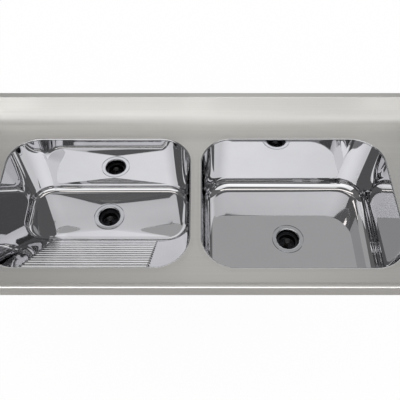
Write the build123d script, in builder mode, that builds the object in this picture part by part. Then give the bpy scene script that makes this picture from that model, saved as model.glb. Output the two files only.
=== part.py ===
from build123d import *

import os
from math import atan2, cos, degrees, pi, radians, sin, tan

# Double-bowl laundry counter in sheet steel: a washing tub with a ribbed washboard on the left,
# a rinsing bowl on the right, and a basket waste in each. Millimetres, +Z up, +Y towards the wall.
# The origin is the middle of the footprint, on the plane where the counter rests on its cabinet.

# A length too small to see, for faces that must not quite meet
hair = 0.01

# Worktop
overall_length = 1200.0
overall_depth = 560.0
sheet = 1.0
deck_height = 35.0
lip_width = 17.0
lip_height = 8.0
lip_crest_start = 9.0
lip_crest_radius = 4.0
lip_foot_radius = 2.5
lip_foot_overlap = 3.0
return_width = 18.0
bend_radius = 2.0
corner_radius = 6.0
upstand_height = 78.0
upstand_depth = 19.0
upstand_edge_radius = 3.0
cove_radius = 32.0
cove_lap = 2.0

# Bowls
bowl_length = 500.0
bowl_width = 400.0
bowl_corner = 85.0
bowl_gap = 32.0
front_ledge = 39.0
rim_roll = 4.0
rim_flange = 12.0
wall_draft = 2.5
rinse_depth = 200.0
rinse_floor_radius = 34.0
rinse_floor_corner = 76.0
tub_depth = 224.0
tub_floor_radius = 18.0
tub_floor_width = 184.0
tub_floor_corner = 62.0
tub_floor_fall = 6.0
dish_margin = 1.0
dish_land = 3.0

# Washboard
rib_count = 13
rib_pitch = 22.0
rib_length = 312.0
rib_rise = 3.5
rib_radius = 12.5
rib_top_margin = 14.0

# Waste positions, back from each opening's front edge
tub_waste_setback = 290.0
rinse_waste_setback = 194.0

# Waste fitting
flange_radius = 45.0
cup_wall = 1.5
seal_thickness = 1.3
seat_clearance = 1.5
throat_radius = 32.0
throat_mouth_radius = 4.0
cup_bend_radius = 1.0
cup_foot_radius = 3.0
flange_bevel = 0.5
basket_seat_depth = 17.0
cup_bore_radius = 26.5
cup_depth = 46.0
neck_bore_radius = 19.5
neck_length = 24.0
floor_hole_clearance = 1.0
gasket_thickness = 3.0
gasket_width = 12.0
washer_thickness = 1.0
nut_height = 9.0
nut_wall = 9.0
thread_clearance = 0.1
thread_lead = 0.5
wing_count = 4
wing_reach = 7.0
wing_width = 10.0
tail_radius = 20.0
tail_wall = 1.5
tail_flange_width = 2.5
tail_flange_thickness = 2.0
tail_shoulder_width = 1.0
tail_shoulder_length = 3.0
tail_length = 57.0
tail_washer_thickness = 2.5
coupling_height = 20.0
coupling_wall = 4.5
coupling_lip = 2.5
coupling_rib_count = 12
coupling_rib_radius = 2.0

# Basket and stopper
basket_wall = 0.8
basket_side_clearance = 1.3
basket_rim_clearance = 1.5
basket_depth = 18.5
basket_foot_radius = 3.0
hub_radius = 6.0
hub_height = 4.5
stem_radius = 3.0
stem_clearance = 0.08
collar_radius = 5.0
collar_thickness = 1.0
disc_thickness = 3.0
disc_edge_clearance = 3.5
disc_edge_radius = 0.75
stem_nut_height = 3.0
stem_nut_radius = 5.5
stem_end = 2.0
knob_depth = 22.0
knob_height = 14.0
knob_radius = 10.0
knob_dome = 5.0
knob_waist_radius = 6.0
knob_socket_depth = 8.0
basket_hole_radius = 1.9
basket_ring_radius = 10.5
basket_ring_pitch = 4.4
basket_ring_count = 3
basket_hole_spacing = 6.8
side_hole_radius = 1.6
side_hole_count = 16
side_hole_rows = 3
side_hole_pitch = 4.6
side_hole_top = 4.5

# Stiffening rails and cabinet fixings
rail_width = 30.0
rail_sheet = 1.2
rail_clearance = 1.0
centre_rail_width = 20.0
lug_width = 30.0
lug_drop = 34.0
lug_weld_height = 22.0
lug_thickness = 2.0
lug_hole_radius = 2.75
lug_hole_edge = 14.0
lug_spacing = 300.0

# Sound-deadening pads
pad_thickness = 3.0
pad_length = 190.0
pad_height = 90.0
pad_top = 70.0

# Levels and places that follow from the sizes above
half_length = overall_length / 2
half_depth = overall_depth / 2
deck_underside = deck_height - sheet
opening_front = -half_depth + lip_width + front_ledge
opening_back = opening_front + bowl_width
opening_y = (opening_front + opening_back) / 2
bowl_x = (bowl_gap + bowl_length) / 2
foot_x = half_length - lip_width
foot_y = half_depth - lip_width
upstand_face = half_depth - upstand_depth
wall_slope = tan(radians(wall_draft))
tub_floor = deck_height - tub_depth
rinse_floor = deck_height - rinse_depth
tub_foot = opening_back - tub_depth * wall_slope - tub_floor_width
washboard_lean = degrees(atan2(tub_foot - opening_front, tub_depth))
tub_waste = (-bowl_x, opening_front + tub_waste_setback, tub_floor - tub_floor_fall)
rinse_waste = (bowl_x, opening_front + rinse_waste_setback, rinse_floor)

# Radii and levels of the basket waste, from the face of its flange downwards
seat_drop = cup_wall + seal_thickness
mouth_radius = flange_radius + seat_clearance
cup_radius = throat_radius + cup_wall
neck_end = -cup_depth - neck_length
floor_underside = -seat_drop - sheet
gasket_underside = floor_underside - gasket_thickness
washer_underside = gasket_underside - washer_thickness
nut_underside = washer_underside - nut_height
tail_top = neck_end - tail_washer_thickness
tail_flange_radius = tail_radius + tail_flange_width
tail_shoulder_radius = tail_radius + tail_shoulder_width
tail_end = tail_top - tail_flange_thickness - tail_shoulder_length - tail_length
coupling_bore = tail_flange_radius + thread_clearance
coupling_underside = tail_top - tail_flange_thickness - coupling_lip
basket_radius = cup_bore_radius - basket_side_clearance
basket_floor_top = -basket_seat_depth - basket_depth
disc_top = -cup_depth + disc_thickness
stem_foot = -cup_depth - stem_nut_height - stem_end
knob_top = -knob_depth + knob_height


# Shared shapes

def upright(station):
    """Upright plane through a station: local x is the radius and local y the height."""
    return Plane(origin=station, x_dir=(1, 0, 0), z_dir=(0, -1, 0))


def axis_at(station):
    """Upright axis through a station."""
    return Axis(station, (0, 0, 1))


def below(station, height):
    """Level plane at a height from a station's own level."""
    x, y, z = station
    return Plane((x, y, z + height))


def ring(station, outer, inner, top, bottom):
    """Flat ring about a station's axis."""
    with BuildPart() as piece:
        with BuildSketch(below(station, bottom)):
            Circle(outer)
            Circle(inner, mode=Mode.SUBTRACT)
        extrude(amount=top - bottom)
    return piece.part


def wall_inset(lean, depth, grow):
    """How far inside the opening's edge a leaning wall stands at a depth, for a solid grown outwards."""
    return (depth + grow) * tan(radians(lean)) - grow / cos(radians(lean))


def bowl_solid(x, depth, floor_radius, floor_corner, front_lean, grow=0.0):
    """Inside of a bowl as a solid, or grown to its sheet's outside, below the deck's top."""
    side = wall_inset(wall_draft, depth, grow)
    front = wall_inset(front_lean, depth, grow)
    mouth_grow = grow / cos(radians(wall_draft))
    mouth_front = opening_front - grow / cos(radians(front_lean))
    mouth_back = opening_back + mouth_grow
    floor_front = opening_front + front
    floor_back = opening_back - side
    with BuildPart() as solid:
        with BuildSketch(Plane((x, (mouth_front + mouth_back) / 2, deck_height))):
            RectangleRounded(bowl_length + 2 * mouth_grow, mouth_back - mouth_front, bowl_corner + grow)
        with BuildSketch(Plane((x, (floor_front + floor_back) / 2, deck_height - depth - grow))):
            RectangleRounded(bowl_length - 2 * side, floor_back - floor_front, floor_corner + grow)
        loft(ruled=True)
        fillet(solid.faces().sort_by(Axis.Z)[0].edges(), floor_radius + grow)
    return solid.part


def waste_seat(station, grow=0.0):
    """Recess for a waste's flange as a solid, or grown to its sheet's outside."""
    with BuildPart() as seat:
        with BuildSketch(below(station, -seat_drop - grow)):
            Circle(mouth_radius + grow)
        extrude(amount=seat_drop + grow)
    return seat.part


def tub_dish(grow=0.0):
    """Fall of the tub's floor, from its flat edge down to the land round the waste's recess."""
    side = tub_depth * wall_slope + tub_floor_radius + dish_margin
    back = opening_back - side
    turn = 90 - washboard_lean
    front = tub_foot + tub_floor_radius * tan(radians(turn / 2)) + dish_margin
    edge_corner = tub_floor_corner - tub_floor_radius - dish_margin
    land = 2 * (mouth_radius + dish_land)
    with BuildPart() as dish:
        with BuildSketch(Plane((-bowl_x, (front + back) / 2, tub_floor - grow))):
            RectangleRounded(bowl_length - 2 * side, back - front, edge_corner)
        with BuildSketch(below(tub_waste, -grow)):
            RectangleRounded(land, land, mouth_radius)
        loft(ruled=True)
    return dish.part


def washboard_bars(radius):
    """Round bars, one per rib, that lie in the washboard's face so that they stand out by the rise."""
    lean = radians(washboard_lean)
    face = Plane(
        origin=(-bowl_x, opening_front, deck_height), x_dir=(1, 0, 0), z_dir=(0, cos(lean), sin(lean))
    )
    middle = rib_top_margin + (rib_count - 1) * rib_pitch / 2
    straight = rib_length - 2 * (rib_radius**2 - (rib_radius - rib_rise) ** 2) ** 0.5
    with BuildPart(face.offset(rib_rise - rib_radius)) as bars:
        with Locations((0, middle)):
            with GridLocations(straight, rib_pitch, 1, rib_count):
                Cylinder(radius, straight, rotation=(0, 90, 0))
            with GridLocations(straight, rib_pitch, 2, rib_count):
                Sphere(radius)
    return bars.part


def pressed_bowl(x, inside, outside):
    """Sheet bowl with a rolled rim and a weld flange that lies flush in the deck."""
    with BuildPart() as bowl:
        add(outside)
        with BuildSketch(Plane((x, opening_y, deck_underside))):
            RectangleRounded(
                bowl_length + 2 * rim_flange, bowl_width + 2 * rim_flange, bowl_corner + rim_flange
            )
        extrude(amount=sheet)
        flange_face = bowl.faces().filter_by(Plane.XY).filter_by_position(
            Axis.Z, deck_underside - hair, deck_underside + hair
        )[0]
        fillet(flange_face.inner_wires()[0].edges(), rim_roll - sheet)
        add(inside, mode=Mode.SUBTRACT)
        top_face = bowl.faces().filter_by(Plane.XY).sort_by(Axis.Z)[-1]
        fillet(top_face.inner_wires()[0].edges(), rim_roll)
    return bowl.part


def waste_hole(station):
    """Cylinder that opens a bowl's floor for a waste."""
    with BuildPart() as hole:
        with BuildSketch(below(station, -seat_drop - 2 * sheet)):
            Circle(cup_radius + floor_hole_clearance)
        extrude(amount=seat_drop + 2 * sheet)
    return hole.part


def upstand_line():
    """Outer line of the upstand from the deck to its rear return, drawn in the (y, z) plane."""
    return FilletPolyline(
        (upstand_face - cove_radius - cove_lap, deck_height),
        (upstand_face, deck_height),
        (upstand_face, deck_height + upstand_height),
        (half_depth, deck_height + upstand_height),
        (half_depth, 0),
        (half_depth - return_width, 0),
        radius=[cove_radius, upstand_edge_radius, upstand_edge_radius, bend_radius],
    )


def channel(length, width, plane):
    """Upward-open channel that reaches from the rest plane to the deck, along its plane's x."""
    with BuildPart() as rail:
        with BuildSketch(plane):
            Rectangle(length, width)
        extrude(amount=deck_underside)
        with BuildSketch(plane.offset(rail_sheet)):
            Rectangle(length, width - 2 * rail_sheet)
        extrude(amount=deck_underside, mode=Mode.SUBTRACT)
    return rail.part


# Worktop: deck plate, lip and apron on three sides, upstand with its end plates

with BuildPart() as worktop:
    with BuildSketch(Plane.XY.offset(deck_underside)) as deck:
        with Locations((0, (upstand_face - cove_radius - foot_y + lip_foot_overlap) / 2)):
            Rectangle(
                2 * (foot_x - lip_foot_overlap),
                upstand_face - cove_radius + foot_y - lip_foot_overlap,
            )
        fillet(deck.vertices().group_by(Axis.Y)[0], corner_radius - lip_foot_overlap)
        with Locations((-bowl_x, opening_y), (bowl_x, opening_y)):
            RectangleRounded(
                bowl_length + 2 * rim_flange,
                bowl_width + 2 * rim_flange,
                bowl_corner + rim_flange,
                mode=Mode.SUBTRACT,
            )
    extrude(amount=sheet)
    with BuildLine(Plane.XY.offset(deck_height)) as lip_path:
        FilletPolyline(
            (-foot_x, half_depth), (-foot_x, -foot_y), (foot_x, -foot_y), (foot_x, half_depth),
            radius=corner_radius,
        )
    with BuildSketch(Plane(origin=(-foot_x, half_depth, deck_height), x_dir=(-1, 0, 0), z_dir=(0, 1, 0))):
        with BuildLine():
            FilletPolyline(
                (-lip_foot_overlap, 0),
                (0, 0),
                (lip_crest_start, lip_height),
                (lip_width, lip_height),
                (lip_width, -deck_height),
                (lip_width - return_width, -deck_height),
                radius=[lip_foot_radius, lip_crest_radius, lip_crest_radius, bend_radius],
            )
            offset(amount=sheet, side=Side.RIGHT)
        make_face()
    sweep(path=lip_path.line)
    with BuildSketch(Plane.YZ.offset(-half_length)):
        with BuildLine():
            upstand_line()
            offset(amount=sheet, side=Side.LEFT)
        make_face()
    extrude(amount=overall_length)
    with BuildSketch(Plane.YZ.offset(-half_length), Plane.YZ.offset(half_length - sheet)):
        with BuildLine():
            outline = upstand_line()
            Polyline(outline @ 1, (upstand_face - cove_radius - cove_lap, 0), outline @ 0)
        make_face()
    extrude(amount=sheet)

# Bowls

tub_inside = bowl_solid(-bowl_x, tub_depth, tub_floor_radius, tub_floor_corner, washboard_lean)
tub_outside = bowl_solid(-bowl_x, tub_depth, tub_floor_radius, tub_floor_corner, washboard_lean, sheet)
tub_padded = bowl_solid(
    -bowl_x, tub_depth, tub_floor_radius, tub_floor_corner, washboard_lean, sheet + pad_thickness
)

with BuildPart() as ribs:
    add(washboard_bars(rib_radius))
    add(tub_inside, mode=Mode.INTERSECT)

with BuildPart() as left_bowl:
    add(pressed_bowl(-bowl_x, tub_inside, tub_outside))
    add(ribs.part)
    add(washboard_bars(rib_radius - sheet), mode=Mode.SUBTRACT)
    add(tub_dish(sheet))
    add(waste_seat(tub_waste, sheet))
    add(tub_dish(), mode=Mode.SUBTRACT)
    add(waste_seat(tub_waste), mode=Mode.SUBTRACT)
    add(waste_hole(tub_waste), mode=Mode.SUBTRACT)

rinse_inside = bowl_solid(bowl_x, rinse_depth, rinse_floor_radius, rinse_floor_corner, wall_draft)
rinse_outside = bowl_solid(bowl_x, rinse_depth, rinse_floor_radius, rinse_floor_corner, wall_draft, sheet)
rinse_padded = bowl_solid(
    bowl_x, rinse_depth, rinse_floor_radius, rinse_floor_corner, wall_draft, sheet + pad_thickness
)

with BuildPart() as right_bowl:
    add(pressed_bowl(bowl_x, rinse_inside, rinse_outside))
    add(waste_seat(rinse_waste, sheet))
    add(waste_seat(rinse_waste), mode=Mode.SUBTRACT)
    add(waste_hole(rinse_waste), mode=Mode.SUBTRACT)


def damping_pad(x, padded, outside):
    """Sound-deadening pad on the back wall of a bowl."""
    with BuildPart() as pad:
        add(padded)
        add(outside, mode=Mode.SUBTRACT)
        with BuildSketch(Plane((x, opening_back, deck_height - pad_top - pad_height))):
            Rectangle(pad_length, bowl_width)
        extrude(amount=pad_height, mode=Mode.INTERSECT)
    return pad.part


# Rails and lugs

rail_length = 2 * (half_length - return_width - corner_radius)
rail_front = -half_depth + return_width + rail_clearance
rail_back = opening_front - rim_roll - rail_clearance
front_rail = channel(rail_length, rail_back - rail_front, Plane((0, (rail_front + rail_back) / 2, 0)))

rear_start = opening_back + rim_roll + rail_clearance
rear_rail = channel(rail_length, rail_width, Plane((0, rear_start + rail_width / 2, 0)))

cross_start = rail_back + rail_clearance
cross_length = rear_start - rail_clearance - cross_start
cross_y = cross_start + cross_length / 2
side_rail_x = half_length - return_width - rail_clearance - lug_thickness - rail_width / 2
side_rails = {
    side: channel(
        cross_length,
        rail_width,
        Plane(origin=(x, cross_y, 0), x_dir=(0, 1, 0), z_dir=(0, 0, 1)),
    )
    for side, x in (("left", -side_rail_x), ("right", side_rail_x))
}
centre_rail = channel(
    cross_length, centre_rail_width, Plane(origin=(0, cross_y, 0), x_dir=(0, 1, 0), z_dir=(0, 0, 1))
)

lug_face = half_length - return_width - rail_clearance
with BuildPart() as fixing_lugs:
    with BuildSketch(Plane.YZ.offset(-lug_face), Plane.YZ.offset(lug_face - lug_thickness)):
        with GridLocations(lug_spacing, 1, 2, 1):
            with Locations((0, (lug_weld_height - lug_drop) / 2)):
                Rectangle(lug_width, lug_weld_height + lug_drop)
            with Locations((0, lug_hole_edge - lug_drop)):
                Circle(lug_hole_radius, mode=Mode.SUBTRACT)
    extrude(amount=lug_thickness)


# Basket waste, piece by piece

def strainer_cup(station):
    """Flanged cup with the shoulder that carries the basket, and its outlet neck."""
    bend = cup_bend_radius
    with BuildPart() as cup:
        with BuildSketch(upright(station)):
            with BuildLine():
                FilletPolyline(
                    (flange_radius, 0),
                    (throat_radius, 0),
                    (throat_radius, -basket_seat_depth),
                    (cup_bore_radius, -basket_seat_depth),
                    (cup_bore_radius, -cup_depth),
                    (neck_bore_radius, -cup_depth),
                    (neck_bore_radius, neck_end),
                    radius=[throat_mouth_radius, bend, bend, cup_foot_radius, bend],
                )
                offset(amount=cup_wall, side=Side.LEFT)
            make_face()
        revolve(axis=axis_at(station))
        rim_edges = cup.edges().filter_by(GeomType.CIRCLE).sort_by(SortBy.RADIUS)[-2:]
        chamfer(rim_edges.sort_by(Axis.Z)[-1], flange_bevel)
    return cup.part


def lock_nut(station):
    """Winged nut that clamps the cup to the bowl's floor."""
    bore = cup_radius + thread_clearance
    with BuildPart() as nut:
        with BuildSketch(below(station, nut_underside)):
            Circle(bore + nut_wall)
            with PolarLocations(bore + nut_wall, wing_count):
                SlotOverall(2 * wing_reach, wing_width)
            Circle(bore, mode=Mode.SUBTRACT)
        extrude(amount=nut_height)
        chamfer(nut.edges().filter_by(GeomType.CIRCLE).sort_by(SortBy.RADIUS)[:2], thread_lead)
    return nut.part


def tailpiece(station):
    """Outlet tube with the flange that its nut pulls up and the shoulder that centres the nut."""
    with BuildPart() as tail:
        with BuildSketch(below(station, tail_end)):
            Circle(tail_radius)
        extrude(amount=tail_top - tail_end)
        with BuildSketch(below(station, tail_end + tail_length)):
            Circle(tail_shoulder_radius)
        extrude(amount=tail_shoulder_length)
        with BuildSketch(below(station, tail_top - tail_flange_thickness)):
            Circle(tail_flange_radius)
        extrude(amount=tail_flange_thickness)
        with BuildSketch(below(station, tail_end)):
            Circle(tail_radius - tail_wall)
        extrude(amount=tail_top - tail_end, mode=Mode.SUBTRACT)
    return tail.part


def coupling_nut(station):
    """Ribbed nut round the neck's end, with the lip that lifts the tailpiece's flange."""
    top = coupling_underside + coupling_height
    with BuildPart() as nut:
        with BuildSketch(below(station, coupling_underside)):
            Circle(coupling_bore + coupling_wall)
            with PolarLocations(coupling_bore + coupling_wall, coupling_rib_count):
                Circle(coupling_rib_radius)
        extrude(amount=coupling_height)
        with BuildSketch(below(station, coupling_underside)):
            Circle(tail_shoulder_radius + thread_clearance)
        extrude(amount=coupling_height, mode=Mode.SUBTRACT)
        with BuildSketch(below(station, coupling_underside + coupling_lip)):
            Circle(coupling_bore)
        extrude(amount=top - coupling_underside, mode=Mode.SUBTRACT)
    return nut.part


def basket(station):
    """Perforated basket that hangs by its rim on the cup's shoulder, with a hub for the stem."""
    floor_underside_level = basket_floor_top - basket_wall
    with BuildPart() as cage:
        with BuildSketch(upright(station)):
            with BuildLine():
                FilletPolyline(
                    (throat_radius - basket_rim_clearance, basket_wall - basket_seat_depth),
                    (basket_radius - basket_wall, basket_wall - basket_seat_depth),
                    (basket_radius - basket_wall, basket_floor_top),
                    (stem_radius + stem_clearance, basket_floor_top),
                    radius=[basket_wall / 2, basket_foot_radius],
                )
                offset(amount=basket_wall, side=Side.LEFT)
            make_face()
        revolve(axis=axis_at(station))
        with BuildSketch(below(station, floor_underside_level)):
            Circle(hub_radius)
            Circle(stem_radius + stem_clearance, mode=Mode.SUBTRACT)
        extrude(amount=hub_height + basket_wall)
        for number in range(basket_ring_count):
            ring_radius = basket_ring_radius + number * basket_ring_pitch
            hole_count = round(2 * pi * ring_radius / basket_hole_spacing)
            with BuildSketch(below(station, floor_underside_level)):
                with PolarLocations(ring_radius, hole_count):
                    Circle(basket_hole_radius)
            extrude(amount=2 * basket_wall, mode=Mode.SUBTRACT)
        for row in range(side_hole_rows):
            level = basket_wall - basket_seat_depth - side_hole_top - row * side_hole_pitch
            turn = row % 2 * 180 / side_hole_count
            with Locations(below(station, level)):
                with PolarLocations(basket_radius, side_hole_count, start_angle=turn):
                    Cylinder(side_hole_radius, 4 * basket_wall, rotation=(0, 90, 0), mode=Mode.SUBTRACT)
    return cage.part


def stopper_stem(station):
    """Post with the collar that bears on the disc."""
    with BuildPart() as stem:
        with BuildSketch(below(station, stem_foot)):
            Circle(stem_radius)
        extrude(amount=knob_socket_depth - knob_depth - stem_foot)
        with BuildSketch(below(station, disc_top)):
            Circle(collar_radius)
        extrude(amount=collar_thickness)
    return stem.part


def stopper_disc(station):
    """Rubber disc that closes the outlet, with a rounded edge."""
    with BuildPart() as disc:
        with BuildSketch(below(station, -cup_depth)):
            Circle(cup_bore_radius - disc_edge_clearance)
            Circle(stem_radius, mode=Mode.SUBTRACT)
        extrude(amount=disc_thickness)
        fillet(disc.edges().filter_by(GeomType.CIRCLE).sort_by(SortBy.RADIUS)[-2:], disc_edge_radius)
    return disc.part


def stem_nut(station):
    """Hexagon nut that holds the disc on the post."""
    with BuildPart() as nut:
        with BuildSketch(below(station, -cup_depth - stem_nut_height)):
            RegularPolygon(stem_nut_radius, 6)
            Circle(stem_radius, mode=Mode.SUBTRACT)
        extrude(amount=stem_nut_height)
    return nut.part


def stopper_knob(station):
    """Turned knob on the post, waisted below and domed on top."""
    with BuildPart() as knob:
        with BuildSketch(upright(station)):
            with BuildLine():
                Polyline((0, knob_top), (0, -knob_depth), (knob_waist_radius, -knob_depth))
                Spline(
                    (knob_waist_radius, -knob_depth),
                    (knob_radius, knob_top - knob_dome),
                    (0, knob_top),
                    tangents=((0, 1), (-1, 0)),
                )
            make_face()
        revolve(axis=axis_at(station))
        with BuildSketch(below(station, -knob_depth)):
            Circle(stem_radius)
        extrude(amount=knob_socket_depth, mode=Mode.SUBTRACT)
    return knob.part


def waste_pieces(station):
    """All pieces of one basket waste, by name."""
    bore = cup_radius + thread_clearance
    rim = bore + gasket_width
    seal_bore = throat_radius + throat_mouth_radius
    return {
        "strainer_cup": strainer_cup(station),
        "flange_seal": ring(station, flange_radius, seal_bore, -cup_wall, -seat_drop),
        "floor_gasket": ring(station, rim, bore, floor_underside, gasket_underside),
        "friction_washer": ring(station, rim, bore, gasket_underside, washer_underside),
        "lock_nut": lock_nut(station),
        "tail_washer": ring(station, tail_flange_radius, neck_bore_radius, neck_end, tail_top),
        "coupling_nut": coupling_nut(station),
        "tailpiece": tailpiece(station),
        "basket": basket(station),
        "stopper_stem": stopper_stem(station),
        "stopper_disc": stopper_disc(station),
        "stopper_knob": stopper_knob(station),
        "stem_nut": stem_nut(station),
    }


pieces = {
    "worktop": worktop.part,
    "left_bowl": left_bowl.part,
    "right_bowl": right_bowl.part,
    "left_damping_pad": damping_pad(-bowl_x, tub_padded, tub_outside),
    "right_damping_pad": damping_pad(bowl_x, rinse_padded, rinse_outside),
    "front_rail": front_rail,
    "rear_rail": rear_rail,
    "left_rail": side_rails["left"],
    "right_rail": side_rails["right"],
    "centre_rail": centre_rail,
    "fixing_lugs": fixing_lugs.part,
}
for side, station in (("left", tub_waste), ("right", rinse_waste)):
    for name, piece in waste_pieces(station).items():
        pieces[f"{side}_{name}"] = piece

os.makedirs("parts", exist_ok=True)
for name, piece in pieces.items():
    piece.label = name
    export_step(piece, f"parts/{name}.step")
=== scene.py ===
"""Looks of a double-bowl laundry counter: mirror-polished bowls in a brushed top, with basket wastes.

Lengths are in millimetres until a mesh is made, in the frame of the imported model: +X along the counter,
+Y towards the wall, +Z up, origin on the plane where the counter rests on its cabinet.
"""

import logging
import math
from dataclasses import dataclass
from enum import Enum
from typing import Callable, Sequence

import bpy
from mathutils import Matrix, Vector


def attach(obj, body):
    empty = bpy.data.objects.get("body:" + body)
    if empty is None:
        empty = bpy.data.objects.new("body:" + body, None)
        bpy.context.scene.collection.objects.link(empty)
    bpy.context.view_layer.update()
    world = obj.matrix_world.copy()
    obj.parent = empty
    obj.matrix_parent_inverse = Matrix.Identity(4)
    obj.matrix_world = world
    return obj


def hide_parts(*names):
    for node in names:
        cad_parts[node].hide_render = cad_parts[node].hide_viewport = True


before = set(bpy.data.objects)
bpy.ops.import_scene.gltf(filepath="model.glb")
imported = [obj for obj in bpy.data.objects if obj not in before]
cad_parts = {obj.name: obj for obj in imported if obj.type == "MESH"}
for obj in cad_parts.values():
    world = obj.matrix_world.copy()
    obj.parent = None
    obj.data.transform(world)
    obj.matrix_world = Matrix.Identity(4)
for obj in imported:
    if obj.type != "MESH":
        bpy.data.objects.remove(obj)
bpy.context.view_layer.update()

MM = 0.001
log = logging.getLogger("laundry_counter")

# Points nearer than a hair, in millimetres, become one, and an edge sharper than the crisp angle, in
# degrees, stays crisp.
HAIR = 0.004
CRISP_ANGLE = 32.0
QUARTERS = (0.25, 0.5, 0.75)

Point = tuple[float, float]
Triple = tuple[float, float, float]
Colour = tuple[float, float, float, float]
Line = list[Vector]

WHITE_LIGHT: Colour = (1.0, 1.0, 1.0, 1.0)
WARM_LIGHT: Colour = (1.0, 0.95, 0.9, 1.0)


class Side(Enum):
    """The two bowls, named as a person who stands in front of the counter sees them."""

    LEFT = "left"
    RIGHT = "right"


# Shapes in plan and profile

def even(start: float, end: float, steps: int) -> list[float]:
    """Returns the numbers from a start to an end in even steps."""
    return [start + (end - start) * step / steps for step in range(steps + 1)]


def spoke(angle: float) -> Vector:
    """Returns the unit vector in plan at an angle from +X."""
    return Vector((math.cos(angle), math.sin(angle)))


def upright(point: Vector, height: float) -> Vector:
    """Lifts a point in plan to a height."""
    return Vector((point.x, point.y, height))


@dataclass(frozen=True)
class Corner:
    """A corner of a bent line, with the radius of its bend."""

    x: float
    y: float
    radius: float = 0.0


def turn_at(before: Corner, here: Corner, after: Corner) -> tuple[Vector, Vector, float, float]:
    """Describes how a line turns at a corner.

    Args:
        before: The corner before it.
        here: The corner itself.
        after: The corner after it.

    Returns:
        Unit vectors to the two neighbours, the angle of the turn, and 1 for a turn to the left or -1.
    """
    middle = Vector((here.x, here.y))
    back = (Vector((before.x, before.y)) - middle).normalized()
    on = (Vector((after.x, after.y)) - middle).normalized()
    turn = math.pi - back.angle(on)
    left = 1.0 if back.x * on.y - back.y * on.x < 0 else -1.0
    return back, on, turn, left


def bent_line(corners: Sequence[Corner], steps: int) -> list[Point]:
    """Rounds the corners of a line.

    Args:
        corners: The line's corners, its two ends included.
        steps: Facets in each bend.

    Returns:
        The points of the rounded line.
    """
    points = [(corners[0].x, corners[0].y)]
    for before, here, after in zip(corners, corners[1:], corners[2:]):
        if here.radius <= 0:
            points.append((here.x, here.y))
            continue
        back, on, turn, left = turn_at(before, here, after)
        centre = Vector((here.x, here.y)) + (back + on).normalized() * here.radius / math.cos(turn / 2)
        arm = Vector((here.x, here.y)) + back * here.radius * math.tan(turn / 2) - centre
        for angle in even(0.0, left * turn, steps):
            points.append((
                centre.x + arm.x * math.cos(angle) - arm.y * math.sin(angle),
                centre.y + arm.x * math.sin(angle) + arm.y * math.cos(angle),
            ))
    points.append((corners[-1].x, corners[-1].y))
    return points


def beside(corners: Sequence[Corner], gap: float) -> list[Corner]:
    """Moves a bent line sideways.

    Args:
        corners: The line's corners.
        gap: The distance, positive to the left of the line's direction.

    Returns:
        The corners of the moved line, whose bends keep their centres.
    """
    moved = []
    for number, here in enumerate(corners):
        before = corners[number - 1] if number else None
        after = corners[number + 1] if number + 1 < len(corners) else None
        if before and after:
            back, on, turn, left = turn_at(before, here, after)
            shift = (back + on).normalized() * left * gap / math.cos(turn / 2)
            radius = max(here.radius - left * gap, 0.0) if here.radius else 0.0
        else:
            start, end = (here, after) if after else (before, here)
            along = Vector((end.x - start.x, end.y - start.y)).normalized()
            shift = Vector((-along.y, along.x)) * gap
            radius = 0.0
        moved.append(Corner(here.x + shift.x, here.y + shift.y, radius))
    return moved


def strip(corners: Sequence[Corner], gap: float, steps: int) -> list[Point]:
    """Closes a bent line into the outline of a strip of sheet.

    Args:
        corners: The corners of the strip's first face.
        gap: The sheet's thickness, positive to the left of the line's direction.
        steps: Facets in each bend.

    Returns:
        The outline, with its first point repeated at the end.
    """
    face = bent_line(corners, steps)
    other = bent_line(beside(corners, gap), steps)
    return face + other[::-1] + face[:1]


@dataclass(frozen=True)
class Place:
    """Where a point stands on an outline: on the bend of a corner, or on the straight that follows it."""

    corner: int
    share: float
    straight: bool = False

    def outward(self) -> Vector:
        """Returns the outline's outward direction there."""
        turn = 1.0 if self.straight else self.share
        return spoke((self.corner + turn) * math.pi / 2)


@dataclass(frozen=True)
class Outline:
    """A rectangle with rounded corners, in plan. Corners count from the right back one, to the left."""

    left: float
    right: float
    front: float
    back: float
    radius: float

    def centre(self, corner: int) -> Vector:
        """Finds the centre of a corner's bend.

        Args:
            corner: The corner's number.

        Returns:
            The centre, in plan.
        """
        number = corner % 4
        x = self.right - self.radius if number in (0, 3) else self.left + self.radius
        y = self.back - self.radius if number in (0, 1) else self.front + self.radius
        return Vector((x, y))

    def at(self, place: Place) -> Vector:
        """Finds the point at a place.

        Args:
            place: The place on the outline.

        Returns:
            The point, in plan.
        """
        out = place.outward() * self.radius
        start = self.centre(place.corner) + out
        if not place.straight:
            return start
        return start.lerp(self.centre(place.corner + 1) + out, place.share)

    @classmethod
    def about(cls, middle: Vector, reach: float, radius: float) -> "Outline":
        """Returns a square about a point, which is a circle where its radius is its reach."""
        return cls(middle.x - reach, middle.x + reach, middle.y - reach, middle.y + reach, radius)


def around(bend_steps: int, straights: Sequence[Sequence[float]]) -> list[Place]:
    """Lists the places of one turn round an outline.

    Args:
        bend_steps: Facets in each corner.
        straights: For the back, left, front and right sides, the shares at which a point stands.

    Returns:
        The places, with the first one repeated at the end.
    """
    places = []
    for corner, shares in enumerate(straights):
        places += [Place(corner, share) for share in even(0.0, 1.0, bend_steps)]
        places += [Place(corner, share, True) for share in shares]
    return places + places[:1]


def bend_between(corner: Vector, arriving: Vector, leaving: Vector, radius: float, steps: int) -> Line:
    """Rounds a corner between two straight lines in space.

    Args:
        corner: Where the lines meet.
        arriving: Unit direction towards the corner.
        leaving: Unit direction away from it.
        radius: The bend's radius.
        steps: Facets in the bend.

    Returns:
        The points of the bend, from the first line to the second.
    """
    turn = arriving.angle(leaving)
    inward = (leaving - arriving * leaving.dot(arriving)).normalized()
    middle = corner - arriving * radius * math.tan(turn / 2) + inward * radius
    return [
        middle - inward * radius * math.cos(angle) + arriving * radius * math.sin(angle)
        for angle in even(0.0, turn, steps)
    ]


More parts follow.
